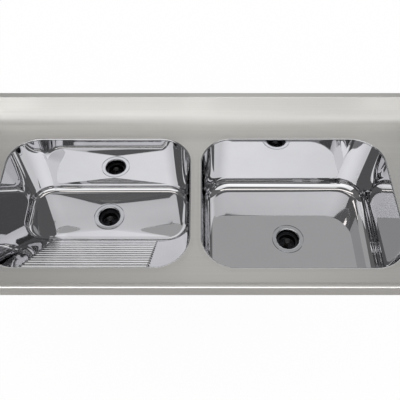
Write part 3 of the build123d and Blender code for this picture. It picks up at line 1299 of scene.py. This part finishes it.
@dataclass
class Waste:
    """One basket waste. Heights count from the face of its flange."""

    side: Side
    station: Vector
    flange_radius: float = 45.0
    flange_bevel: float = 0.5
    wall: float = 1.5
    throat_radius: float = 32.0
    throat_mouth_radius: float = 4.0
    seat_level: float = -17.0
    bore_radius: float = 26.5
    cup_bend: float = 1.0
    cup_foot_bend: float = 3.0
    cup_floor: float = -46.0
    neck_radius: float = 19.5
    neck_end: float = -70.0
    basket_wall: float = 0.8
    basket_rim: float = 30.5
    basket_radius: float = 25.2
    basket_bend: float = 0.8
    basket_foot_bend: float = 3.0
    basket_floor: float = -35.5
    hub_radius: float = 6.0
    hub_height: float = 4.5
    hub_bevel: float = 0.5
    stem_radius: float = 3.0
    stem_clearance: float = 0.08
    ring_count: int = 3
    ring_radius: float = 10.5
    ring_pitch: float = 4.4
    hole_radius: float = 1.9
    hole_spacing: float = 6.8
    side_hole_rows: int = 3
    side_hole_radius: float = 1.6
    side_hole_count: int = 16
    side_hole_pitch: float = 4.6
    side_hole_top: float = 4.5
    drill_length: float = 5.0
    drill_facets: int = 18
    knob_foot: float = -22.0
    knob_top: float = -8.0
    knob_radius: float = 10.0
    knob_waist: float = 6.0
    knob_dome: float = 5.0
    knob_bore: float = 8.0
    disc_radius: float = 23.0
    disc_thickness: float = 3.0
    disc_bevel: float = 0.75
    collar_radius: float = 5.0
    collar_thickness: float = 1.0
    stem_foot: float = -51.0
    stem_top: float = -14.0
    stem_bevel: float = 0.4
    edge: float = 0.3
    seal_bore: float = 36.0
    seal_levels: Point = (-2.8, -1.5)
    gasket_radius: float = 45.6
    gasket_bore: float = 33.6
    gasket_levels: Point = (-6.8, -3.8)
    washer_levels: Point = (-7.8, -6.8)
    nut_levels: Point = (-16.8, -7.8)
    nut_radius: float = 42.6
    wing_count: int = 4
    wing_radius: float = 5.0
    wing_centre: float = 44.6
    tail_radius: float = 20.0
    tail_wall: float = 1.5
    tail_top: float = -72.5
    tail_end: float = -134.5
    tail_flange_radius: float = 22.5
    tail_flange: float = 2.0
    tail_shoulder_radius: float = 21.0
    tail_shoulder: float = 3.0
    coupling_levels: Point = (-77.0, -57.0)
    coupling_radius: float = 27.1
    coupling_bore: float = 22.6
    coupling_lip: float = 2.5
    coupling_ribs: int = 12
    coupling_rib_radius: float = 2.0
    sheet_steps: int = 6
    edge_steps: int = 3
    ring_steps: int = 4
    knob_side_steps: int = 8
    knob_turn_steps: int = 64
    stem_turn_steps: int = 40
    wing_gap_steps: int = 24
    rib_gap_steps: int = 6

    def name(self, piece: str) -> str:
        """Returns a piece's full name."""
        return f"{self.side.value}_{piece}"

    def turned(
        self, name: str, corners: Sequence[Corner], bend_steps: int, steps: int = 96
    ) -> bpy.types.Object:
        """Turns a piece on the waste's axis.

        Args:
            name: The piece's name, without its side.
            corners: The corners of its outline.
            bend_steps: Facets in each bend of the outline.
            steps: Facets round the axis.

        Returns:
            The new piece.
        """
        points = bent_line(corners, bend_steps)
        return turn_piece(self.name(name), points + points[:1], self.station, steps)

    def ring(
        self, name: str, outer: float, bore: float, levels: Point, edge: float | None = None
    ) -> bpy.types.Object:
        """Models a flat ring with softened outer edges.

        Args:
            name: The piece's name, without its side.
            outer: Its outer radius.
            bore: Its inner radius.
            levels: Its bottom and its top.
            edge: The radius of its outer edges, where they differ from the waste's other edges.

        Returns:
            The new piece.
        """
        bottom, top = levels
        soft = edge or self.edge
        corners = [
            Corner(bore, bottom), Corner(outer, bottom, soft), Corner(outer, top, soft), Corner(bore, top),
        ]
        return self.turned(name, corners, self.ring_steps)

    def nut(self, name: str, rim: Line, levels: Point, bore: Sequence[Point]) -> bpy.types.Object:
        """Models a moulded nut with a lobed rim and a round bore.

        Args:
            name: The piece's name, without its side.
            rim: The rim in plan.
            levels: Its bottom and its top.
            bore: Radii and heights of the bore's rows.

        Returns:
            The new piece.
        """
        bottom, top = levels
        soft = 2 * self.edge
        outer = ((soft, top), (0.0, top - soft), (0.0, bottom + soft), (soft, bottom))
        rows = [[self.station + upright(point - point.normalized() * inset, height) for point in rim]
                for inset, height in outer]
        rows += [[self.station + upright(point.normalized() * radius, height) for point in rim]
                 for radius, height in bore]
        return lay_grid(self.name(name), rows + rows[:1])

    def cup(self) -> bpy.types.Object:
        """Models the flanged cup with the basket's shoulder and the outlet neck.

        Returns:
            The piece.
        """
        outline = strip([
            Corner(self.flange_radius, 0),
            Corner(self.throat_radius, 0, self.throat_mouth_radius),
            Corner(self.throat_radius, self.seat_level, self.cup_bend),
            Corner(self.bore_radius, self.seat_level, self.cup_bend),
            Corner(self.bore_radius, self.cup_floor, self.cup_foot_bend),
            Corner(self.neck_radius, self.cup_floor, self.cup_bend),
            Corner(self.neck_radius, self.neck_end),
        ], self.wall, self.sheet_steps)
        bevel = [(self.flange_radius, -self.flange_bevel), (self.flange_radius - self.flange_bevel, 0.0)]
        return turn_piece(self.name("cup_pressing"), bevel + outline[1:-1] + bevel[:1], self.station)

    def basket(self) -> bpy.types.Object:
        """Models the basket and drills its floor and wall.

        Returns:
            The piece.
        """
        inner_radius = self.basket_radius - self.basket_wall
        rim_level = self.seat_level + self.basket_wall
        corners = [
            Corner(self.basket_rim, rim_level),
            Corner(inner_radius, rim_level, self.basket_bend),
            Corner(inner_radius, self.basket_floor, self.basket_foot_bend),
            Corner(self.hub_radius, self.basket_floor),
        ]
        bore = self.stem_radius + self.stem_clearance
        below_floor = self.basket_floor - self.basket_wall
        hub_top = self.basket_floor + self.hub_height
        hub = [
            (self.hub_radius, hub_top - self.hub_bevel),
            (self.hub_radius - self.hub_bevel, hub_top),
            (bore, hub_top),
            (bore, below_floor),
        ]
        upper = bent_line(corners, self.sheet_steps)
        lower = bent_line(beside(corners, self.basket_wall), self.sheet_steps)[::-1][1:]
        piece = turn_piece(self.name("basket_pressing"), upper + hub + lower + upper[:1], self.station)
        cut(piece, self.drills())
        smooth(piece)
        return piece

    def drills(self) -> bpy.types.Object:
        """Models the rods that cut the basket's holes.

        Returns:
            The rods, joined.
        """
        rods = []
        for number in range(self.ring_count):
            radius = self.ring_radius + number * self.ring_pitch
            count = round(2 * math.pi * radius / self.hole_spacing)
            for hole in range(count):
                middle = upright(spoke(2 * math.pi * hole / count) * radius, self.basket_floor)
                rods.append((middle, (0.0, 0.0, 0.0), self.hole_radius))
        for row in range(self.side_hole_rows):
            level = self.seat_level + self.basket_wall - self.side_hole_top - row * self.side_hole_pitch
            for hole in range(self.side_hole_count):
                angle = 2 * math.pi * (hole + row % 2 / 2) / self.side_hole_count
                middle = upright(spoke(angle) * self.basket_radius, level)
                rods.append((middle, (0.0, math.pi / 2, angle), self.side_hole_radius))
        made = []
        for middle, turn, radius in rods:
            deselect()
            bpy.ops.mesh.primitive_cylinder_add(
                vertices=self.drill_facets, radius=radius * MM, depth=self.drill_length * MM,
                location=(self.station + middle) * MM, rotation=turn,
            )
            made.append(bpy.context.object)
        return join(self.name("drills"), made)

    def knob(self) -> bpy.types.Object:
        """Models the turned knob of the stopper.

        Returns:
            The piece.
        """
        neck = self.knob_top - self.knob_dome
        shares = even(0.0, 1.0, self.knob_side_steps)[1:]
        side = [(self.knob_waist, self.knob_foot)]
        for share in shares:
            flare = (self.knob_radius - self.knob_waist) * math.sin(share * math.pi / 2) ** 2
            side.append((self.knob_waist + flare, self.knob_foot + (neck - self.knob_foot) * share))
        for share in shares:
            angle = share * math.pi / 2
            side.append((self.knob_radius * math.cos(angle), neck + self.knob_dome * math.sin(angle)))
        foot = [(self.stem_radius, self.knob_foot)]
        bore_end = self.knob_foot + self.knob_bore
        outline = foot + side + [(0.0, bore_end), (self.stem_radius, bore_end)] + foot
        return turn_piece(self.name("knob_turning"), outline, self.station, self.knob_turn_steps)

    def disc(self) -> bpy.types.Object:
        """Models the rubber disc that closes the outlet."""
        levels = (self.cup_floor, self.cup_floor + self.disc_thickness)
        return self.ring("disc_moulding", self.disc_radius, self.stem_radius, levels, self.disc_bevel)

    def stem(self) -> bpy.types.Object:
        """Models the stopper's post with the collar that bears on the disc.

        Returns:
            The piece.
        """
        collar = self.cup_floor + self.disc_thickness
        collar_top = collar + self.collar_thickness
        corners = [
            Corner(0, self.stem_foot),
            Corner(self.stem_radius, self.stem_foot, self.stem_bevel),
            Corner(self.stem_radius, collar),
            Corner(self.collar_radius, collar, self.edge),
            Corner(self.collar_radius, collar_top, self.edge),
            Corner(self.stem_radius, collar_top),
            Corner(self.stem_radius, self.stem_top, self.stem_bevel),
            Corner(0, self.stem_top),
        ]
        return self.turned("stem_turning", corners, self.edge_steps, self.stem_turn_steps)

    def lock_nut(self) -> bpy.types.Object:
        """Models the winged nut that clamps the cup to the floor.

        Returns:
            The piece.
        """
        bottom, top = self.nut_levels
        soft = 2 * self.edge
        wings = (self.wing_count, self.wing_radius, self.wing_centre, self.wing_gap_steps)
        rim = lobed(self.nut_radius, *wings)
        bore = (
            (self.gasket_bore + soft, bottom), (self.gasket_bore, bottom + soft),
            (self.gasket_bore, top - soft), (self.gasket_bore + soft, top),
        )
        return self.nut("lock_nut_moulding", rim, self.nut_levels, bore)

    def coupling_nut(self) -> bpy.types.Object:
        """Models the ribbed nut that lifts the tailpiece to the neck.

        Returns:
            The piece.
        """
        bottom, top = self.coupling_levels
        lip_top = bottom + self.coupling_lip
        lip_bore = self.tail_shoulder_radius + self.stem_clearance
        radius = self.coupling_radius
        rim = lobed(radius, self.coupling_ribs, self.coupling_rib_radius, radius, self.rib_gap_steps)
        bore = (
            (lip_bore, bottom), (lip_bore, lip_top),
            (self.coupling_bore, lip_top), (self.coupling_bore, top),
        )
        return self.nut("coupling_nut_moulding", rim, self.coupling_levels, bore)

    def tailpiece(self) -> bpy.types.Object:
        """Models the outlet tube with its flange and shoulder.

        Returns:
            The piece.
        """
        bore = self.tail_radius - self.tail_wall
        flange_foot = self.tail_top - self.tail_flange
        shoulder_foot = flange_foot - self.tail_shoulder
        corners = [
            Corner(bore, self.tail_end),
            Corner(self.tail_radius, self.tail_end, self.edge),
            Corner(self.tail_radius, shoulder_foot),
            Corner(self.tail_shoulder_radius, shoulder_foot, self.edge),
            Corner(self.tail_shoulder_radius, flange_foot),
            Corner(self.tail_flange_radius, flange_foot, self.edge),
            Corner(self.tail_flange_radius, self.tail_top, self.edge),
            Corner(bore, self.tail_top),
        ]
        return self.turned("tailpiece_moulding", corners, self.edge_steps)

    def build(self, workshop: Workshop) -> None:
        """Models the waste's pieces and dresses them. The cup is painted dark below its polished mouth, and
        the basket is painted dark all over, as painted shade in the waste's well.

        Args:
            workshop: Dresses the pieces.
        """
        basket_body, stopper_body = self.name("basket"), self.name("stopper")
        seal = self.ring("seal_moulding", self.flange_radius, self.seal_bore, self.seal_levels)
        gasket = self.ring("gasket_moulding", self.gasket_radius, self.gasket_bore, self.gasket_levels)
        washer = self.ring("washer_blank", self.gasket_radius, self.gasket_bore, self.washer_levels)
        levels = (self.tail_top, self.neck_end)
        tail_washer = self.ring("tail_washer_moulding", self.tail_flange_radius, self.neck_radius, levels)
        cup = self.cup()
        made = (
            (cup, Finish.FITTING, "sink", "strainer_cup"),
            (seal, Finish.RUBBER, "sink", "flange_seal"),
            (gasket, Finish.RUBBER, "sink", "floor_gasket"),
            (washer, Finish.FIBRE, "sink", "friction_washer"),
            (self.lock_nut(), Finish.WHITE, "sink", "lock_nut"),
            (tail_washer, Finish.RUBBER, "sink", "tail_washer"),
            (self.coupling_nut(), Finish.WHITE, "sink", "coupling_nut"),
            (self.tailpiece(), Finish.WHITE, "sink", "tailpiece"),
            # Painted shade: the basket is painted dark grey for the shade in the well.
            (self.basket(), Finish.SHADED_WELL, basket_body, "basket"),
            (self.knob(), Finish.BLACK, stopper_body, "stopper_knob"),
            (self.stem(), Finish.BRASS, stopper_body, "stopper_stem"),
            (self.disc(), Finish.RUBBER, stopper_body, "stopper_disc"),
        )
        for piece, finish, body, node in made:
            workshop.dress(piece, finish, body, [self.name(node)])
        # Painted shade: the cup is painted dark grey below its mouth, where the waste's well lies in shade.
        painted_shade_top = (self.station.z - self.throat_mouth_radius) * MM
        workshop.refinish(cup, Finish.SHADED_WELL, lambda face: face.center.z < painted_shade_top)
        workshop.dress_node(self.name("stem_nut"), Finish.BRASS)


@dataclass
class Underframe:
    """Rails, fixing lugs and damping pads below the top."""

    rails: tuple[str, ...] = (
        "front_rail", "rear_rail", "left_rail", "right_rail", "centre_rail", "fixing_lugs",
    )
    pads: tuple[str, ...] = ("left_damping_pad", "right_damping_pad")

    def build(self, workshop: Workshop) -> None:
        """Dresses the pieces.

        Args:
            workshop: Dresses them.
        """
        for node in self.rails:
            workshop.dress_node(node, Finish.MILL)
        for node in self.pads:
            workshop.dress_node(node, Finish.PAD)


# The studio

@dataclass(frozen=True)
class Card:
    """A patch of the studio's dome that the steel mirrors.

    Azimuth counts in degrees from the front to the right. The light falls to a share of its strength from one
    elevation up to its top edge, and to another share towards its sides, all of it at the side reach, which
    is a share of the distance.
    """

    name: str
    azimuth: Point
    elevation: Point
    strength: float
    fade_from: float = 90.0
    fade_to: float = 1.0
    side_fade: float = 1.0
    side_reach: float = 0.55
    distance: float = 4.0

    def point(self, across: float, up: float) -> Vector:
        """Finds a place on the patch.

        Args:
            across: How far across it is, from 0 to 1.
            up: How far up it is, from 0 to 1.

        Returns:
            The place, in metres.
        """
        left, right = self.azimuth
        low, high = self.elevation
        turn = math.radians(left + (right - left) * across)
        height = math.radians(low + (high - low) * up)
        outward = (math.cos(height) * math.sin(turn), -math.cos(height) * math.cos(turn), math.sin(height))
        return Vector(outward) * self.distance

    def material(self) -> bpy.types.Material:
        """Builds the card's light, which fades towards its top edge and its sides.

        Returns:
            The material.
        """
        tree = Tree.of_material(self.name)
        low = self.distance * math.sin(math.radians(min(self.fade_from, self.elevation[1])))
        high = self.distance * math.sin(math.radians(self.elevation[1])) + MM
        share = ((tree.axis("Z") - low) * (1 / (high - low))).clamp()
        aside = tree.axis("X") * (1 / (self.side_reach * self.distance))
        dimming = (1 - share * (1 - self.fade_to)) * (1 - (aside * aside).clamp() * (1 - self.side_fade))
        return tree.shown(tree.light(self.strength, tree.blend(dimming, "#000000", "#FFFFFF")))


@dataclass(frozen=True)
class Panel:
    """A flat board or mat of even light that the steel mirrors. A one-sided one is clear from its right."""

    name: str
    corner: Triple
    along: Triple
    rise: Triple
    strength: float
    colour: Colour = WARM_LIGHT
    one_sided: bool = False

    def point(self, across: float, up: float) -> Vector:
        """Returns the place at a share of each of its sides, in metres."""
        return Vector(self.corner) + Vector(self.along) * across + Vector(self.rise) * up

    def material(self) -> bpy.types.Material:
        """Builds the panel's light.

        Returns:
            The material.
        """
        tree = Tree.of_material(self.name)
        shader = tree.light(self.strength, self.colour)
        if self.one_sided:
            clear = tree.node("ShaderNodeBsdfTransparent")
            from_left = tree.node("ShaderNodeNewGeometry", output="Backfacing")
            shader = tree.node("ShaderNodeMixShader", {}, {0: from_left, 1: clear, 2: shader})
        return tree.shown(shader)


@dataclass
class Studio:
    """Pale floor, soft light, boards round the counter, and the camera.

    The camera and the floor's level are in millimetres, and the rest of the room in metres.
    """

    camera_place: Triple = (11.0, -783.6, 1134.6)
    camera_pitch: float = 55.6
    camera_lens: float = 46.46
    camera_sensor: float = 36.0
    floor_level: float = -340.0
    floor_size: float = 30.0
    floor_grey: float = 0.86
    floor_white: float = 1.05
    floor_white_share: float = 0.9
    air_strength: float = 0.6
    lamp_place: Triple = (0.0, -1.5, 0.35)
    lamp_size: Point = (4.4, 1.0)
    lamp_radiance: float = 2.05
    board_columns: int = 32
    board_rows: int = 12
    boards: tuple[Card | Panel, ...] = (
        Card("softbox", (-58, 75), (31, 64), 1.42, 50.0, 0.65, 0.75),
        Card("softbox_foot", (-58, 5), (20, 31), 1.38),
        Card("low_left", (-58, 5), (-20, 20), 0.5),
        Card("low_right", (5, 75), (-20, 31), 0.08),
        Card("high_front", (-142, 122), (64, 90), 0.17),
        Card("left_wall", (-142, -58), (-20, 64), 0.15),
        Card("right_wall", (75, 122), (-20, 64), 0.16),
        Card("right_rear", (122, 140), (-20, 41), 0.16),
        Card("rear_ceiling", (122, 218), (41, 90), 0.44),
        Card("rear_window", (140, 218), (33, 41), 1.3),
        Card("rear_wall", (140, 218), (-20, 33), 0.33),
        Panel("partition", (-0.01, -0.28, 0.36), (0, 1.48, 0), (0, 0, 1.24), 0.16, WHITE_LIGHT, True),
        Panel("overhead_strip", (-1.3, -0.1, 3.0), (2.6, 0, 0), (0, 0.35, 0), 2.0),
        Panel("front_mat", (-1.6, -2.2, -0.335), (3.2, 0, 0), (0, 1.9, 0), 0.24),
    )

    def floor(self) -> None:
        """Lays the floor: white to the eye, with the counter's soft shadow on it."""
        deselect()
        bpy.ops.mesh.primitive_plane_add(size=self.floor_size, location=(0, 0, self.floor_level * MM))
        piece = named("studio_floor")
        tree = Tree.of_material("studio_floor")
        grey = (self.floor_grey, self.floor_grey, self.floor_grey, 1.0)
        inputs = {
            0: tree.seen() * self.floor_white_share,
            1: tree.node("ShaderNodeBsdfDiffuse", {}, {"Color": grey}),
            2: tree.light(self.floor_white),
        }
        piece.data.materials.append(tree.shown(tree.node("ShaderNodeMixShader", {}, inputs)))

    def hang(self, board: Card | Panel) -> None:
        """Hangs a board that only the steel sees.

        Args:
            board: The board.
        """
        deselect()
        columns, rows = self.board_columns, self.board_rows
        bpy.ops.mesh.primitive_grid_add(x_subdivisions=columns, y_subdivisions=rows, size=1)
        piece = named(board.name)
        points = [board.point(across, up)
                  for up in even(0.0, 1.0, rows) for across in even(0.0, 1.0, columns)]
        piece.data.vertices.foreach_set("co", [value for point in points for value in point])
        piece.data.materials.append(board.material())
        piece.visible_camera = False
        piece.visible_diffuse = False
        piece.visible_shadow = False

    def top_lamp(self) -> None:
        """Adds a wide soft lamp in front for the top alone, so that the bowls keep their dark walls."""
        data = bpy.data.lights.new("top_lamp", "AREA")
        data.shape = "RECTANGLE"
        data.size, data.size_y = self.lamp_size
        data.energy = self.lamp_radiance * math.pi * data.size * data.size_y
        lamp = bpy.data.objects.new("top_lamp", data)
        bpy.context.scene.collection.objects.link(lamp)
        lamp.location = self.lamp_place
        lamp.rotation_euler = (math.radians(90), 0, 0)
        lamp.visible_camera = False
        receivers = bpy.data.collections.new("top_lamp_receivers")
        receivers.objects.link(bpy.data.objects["worktop_sheet"])
        lamp.light_linking.receiver_collection = receivers

    def world(self) -> None:
        """Lights the room evenly, and shows white where the eye or the steel looks past the boards."""
        world = bpy.data.worlds.new("studio_air")
        bpy.context.scene.world = world
        tree = Tree(world)
        strength = tree.seen() * (1 - self.air_strength) + self.air_strength
        air = tree.node("ShaderNodeBackground", {}, {"Color": WHITE_LIGHT, "Strength": strength})
        tree.shown(air, "ShaderNodeOutputWorld")

    def camera(self) -> None:
        """Sets the camera where the photographer stood."""
        data = bpy.data.cameras.new("camera")
        data.lens = self.camera_lens
        data.sensor_width = self.camera_sensor
        camera = bpy.data.objects.new("camera", data)
        bpy.context.scene.collection.objects.link(camera)
        camera.location = Vector(self.camera_place) * MM
        camera.rotation_euler = (math.radians(90 - self.camera_pitch), 0, 0)
        bpy.context.scene.camera = camera

    def build(self) -> None:
        """Sets up the studio."""
        self.floor()
        for board in self.boards:
            self.hang(board)
        self.top_lamp()
        self.world()
        self.camera()
        bpy.context.scene.view_settings.view_transform = "Standard"


def main() -> None:
    """Builds the counter piece by piece, then the studio."""
    logging.basicConfig(level=logging.INFO, format="%(message)s")
    workshop = Workshop()
    tub_waste = Vector((-266.0, 66.0, -195.0))
    rinse_waste = Vector((266.0, -30.0, -165.0))
    tub = Bowl(
        Side.LEFT, depth=224.0, floor_radius=18.0, floor_corner=62.0, waste=tub_waste, floor_width=184.0
    )
    rinse = Bowl(Side.RIGHT, depth=200.0, floor_radius=34.0, floor_corner=76.0, waste=rinse_waste)
    Worktop().build(workshop)
    tub.build(workshop)
    rinse.build(workshop)
    Waste(Side.LEFT, tub_waste).build(workshop)
    Waste(Side.RIGHT, rinse_waste).build(workshop)
    Underframe().build(workshop)
    Studio().build()


if __name__ == "__main__":
    main()
